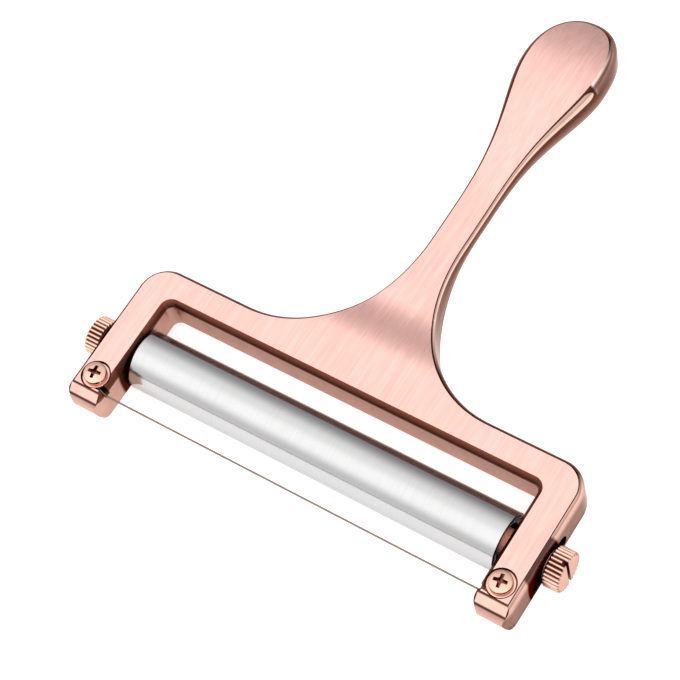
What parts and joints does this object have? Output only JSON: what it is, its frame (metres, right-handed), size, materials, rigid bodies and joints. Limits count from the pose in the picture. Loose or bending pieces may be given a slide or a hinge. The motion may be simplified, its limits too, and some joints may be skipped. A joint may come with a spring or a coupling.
{
  "type": "wire cheese slicer",
  "caption": "Hand-held wire cheese slicer: a cast rose-gold yoke and handle, a steel roller on an axle that slides in slotted arms, and a taut cutting wire between the arm tips.",
  "frame": {"origin": "centre of the slicer's outer size in X and Y, level with the lowest line of the roller", "axes": "+X along the roller towards the right arm, +Y from the arm tips to the end of the handle, +Z out of the brushed front face"},
  "size_m": [0.1498, 0.1674, 0.018],
  "materials": {
    "rose_casting": "brushed satin front, polished sides",
    "rose_small_parts": "polished rose gold",
    "steel_tube": "polished stainless steel",
    "steel_rod": "drawn steel",
    "black_cap": "black moulded plastic",
    "wire": "bright stainless wire"
  },
  "bodies": {
    "frame": {"frame_casting": "rose_casting", "wire_screw_left": "rose_small_parts", "wire_screw_right": "rose_small_parts", "wire_washer_left": "rose_small_parts", "wire_washer_right": "rose_small_parts", "cutting_wire": "wire"},
    "axle": {"axle_rod": "steel_rod", "axle_bush_left": "rose_small_parts", "axle_bush_right": "rose_small_parts"},
    "roller": {"roller_tube": "steel_tube", "roller_cap_left": "black_cap", "roller_cap_right": "black_cap"},
    "washer_left": {"thumb_washer_left": "rose_small_parts"},
    "thumb_left": {"thumb_screw_left": "rose_small_parts"},
    "washer_right": {"thumb_washer_right": "rose_small_parts"},
    "thumb_right": {"thumb_screw_right": "rose_small_parts"}
  },
  "joints": [
    {"name": "roller_adjust", "type": "slide", "parent": "frame", "child": "axle", "axis": [0, 1, 0], "range_m": [-0.005, 0.005]},
    {"name": "roller_spin", "type": "hinge", "parent": "axle", "child": "roller", "pos_m": [0, -0.06306, 0.0084], "axis": [1, 0, 0], "continuous": true},
    {"name": "thumb_left_travel", "type": "slide", "parent": "axle", "child": "washer_left", "axis": [-1, 0, 0], "range_m": [0, 0.0014]},
    {"name": "thumb_left_turn", "type": "hinge", "parent": "washer_left", "child": "thumb_left", "pos_m": [-0.07, -0.06306, 0.0084], "axis": [-1, 0, 0], "range_deg": [0, 720]},
    {"name": "thumb_right_travel", "type": "slide", "parent": "axle", "child": "washer_right", "axis": [1, 0, 0], "range_m": [0, 0.0014]},
    {"name": "thumb_right_turn", "type": "hinge", "parent": "washer_right", "child": "thumb_right", "pos_m": [0.07, -0.06306, 0.0084], "axis": [1, 0, 0], "range_deg": [0, 720]}
  ],
  "couplings": [
    {"joint": "thumb_left_turn", "follows": "thumb_left_travel", "rad_per_m": 8975.9},
    {"joint": "thumb_right_turn", "follows": "thumb_right_travel", "rad_per_m": 8975.9}
  ]
}
